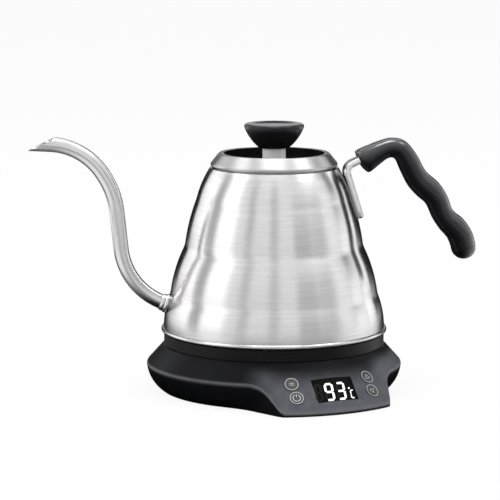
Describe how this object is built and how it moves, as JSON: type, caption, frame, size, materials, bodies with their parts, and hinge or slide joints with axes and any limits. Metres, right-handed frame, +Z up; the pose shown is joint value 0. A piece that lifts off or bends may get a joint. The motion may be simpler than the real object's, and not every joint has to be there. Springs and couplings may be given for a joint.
{
  "type": "gooseneck kettle",
  "caption": "Electric gooseneck kettle with a stepped steel body, slim curved spout, waved handle and lift-off lid, on a round power base with a sloping display panel.",
  "frame": {"origin": "on the table under the feet, on the kettle's upright axis", "axes": "+Z up, -X towards the spout tip, +X towards the handle, -Y the side that the picture shows"},
  "size_m": [0.2759, 0.17, 0.1642],
  "materials": {
    "brushed_steel": "brushed round the body",
    "black_moulding": "fine satin moulding",
    "black_grip": "soft gloss",
    "button_black": "satin with a thin pale ring and sign",
    "smoked_window": "glossy dark window",
    "circuit_board": "solder mask",
    "rubber": "matt",
    "contact_brass": "bright",
    "aluminium": "plain",
    "plain_steel": "plain zinc or nickel plate",
    "inner_plastic": "plain"
  },
  "bodies": {
    "base": {"base_upper_shell": "black_moulding", "base_lower_cover": "black_moulding", "cover_screws": "plain_steel", "rubber_feet": "rubber", "base_connector": "inner_plastic", "contact_ring": "contact_brass", "contact_pin": "contact_brass", "display_window": "smoked_window", "display_module": "inner_plastic", "control_board": "circuit_board", "push_switches": "inner_plastic", "button_board_left": "circuit_board", "button_board_right": "circuit_board", "power_board": "circuit_board", "relay": "inner_plastic", "transformer": "inner_plastic", "capacitor": "aluminium", "terminal_block": "inner_plastic", "cord_gland": "rubber"},
    "kettle_coupling": {"kettle_connector": "inner_plastic", "connector_ring_blade": "contact_brass", "connector_centre_pin": "contact_brass"},
    "kettle": {"vessel_body": "brushed_steel", "seam_ring": "brushed_steel", "heater_plate": "brushed_steel", "heat_spreader": "aluminium", "heating_element": "plain_steel", "element_terminals": "contact_brass", "boil_dry_cutout": "inner_plastic", "temperature_probe": "plain_steel", "bottom_housing": "black_moulding", "housing_gasket": "rubber", "housing_screws": "plain_steel", "spout_tube": "brushed_steel", "spout_collar": "brushed_steel", "handle_bracket": "brushed_steel", "handle_grip": "black_grip", "grip_screw": "plain_steel"},
    "lid": {"lid_rim": "brushed_steel", "lid_dish": "black_grip", "knob_post": "brushed_steel", "knob": "black_grip", "knob_screw": "plain_steel"},
    "hold_key": {"button_hold": "button_black"},
    "power_key": {"button_power": "button_black"},
    "up_key": {"button_up": "button_black"},
    "down_key": {"button_down": "button_black"}
  },
  "joints": [
    {"name": "kettle_lift", "type": "slide", "parent": "base", "child": "kettle_coupling", "axis": [0, 0, 1], "range_m": [0, 0.06]},
    {"name": "kettle_swivel", "type": "hinge", "parent": "kettle_coupling", "child": "kettle", "pos_m": [0, 0, 0.033], "axis": [0, 0, 1], "continuous": true},
    {"name": "lid_lift", "type": "slide", "parent": "kettle", "child": "lid", "axis": [0, 0, 1], "range_m": [0, 0.06]},
    {"name": "hold_press", "type": "slide", "parent": "base", "child": "hold_key", "axis": [-0.0153, 0.743, -0.6691], "range_m": [0, 0.0005], "stiffness_N_per_m": 600},
    {"name": "power_press", "type": "slide", "parent": "base", "child": "power_key", "axis": [-0.0342, 0.7424, -0.6691], "range_m": [0, 0.0005], "stiffness_N_per_m": 600},
    {"name": "up_press", "type": "slide", "parent": "base", "child": "up_key", "axis": [-0.4659, 0.579, -0.6691], "range_m": [0, 0.0005], "stiffness_N_per_m": 600},
    {"name": "down_press", "type": "slide", "parent": "base", "child": "down_key", "axis": [-0.4509, 0.5907, -0.6691], "range_m": [0, 0.0005], "stiffness_N_per_m": 600}
  ]
}
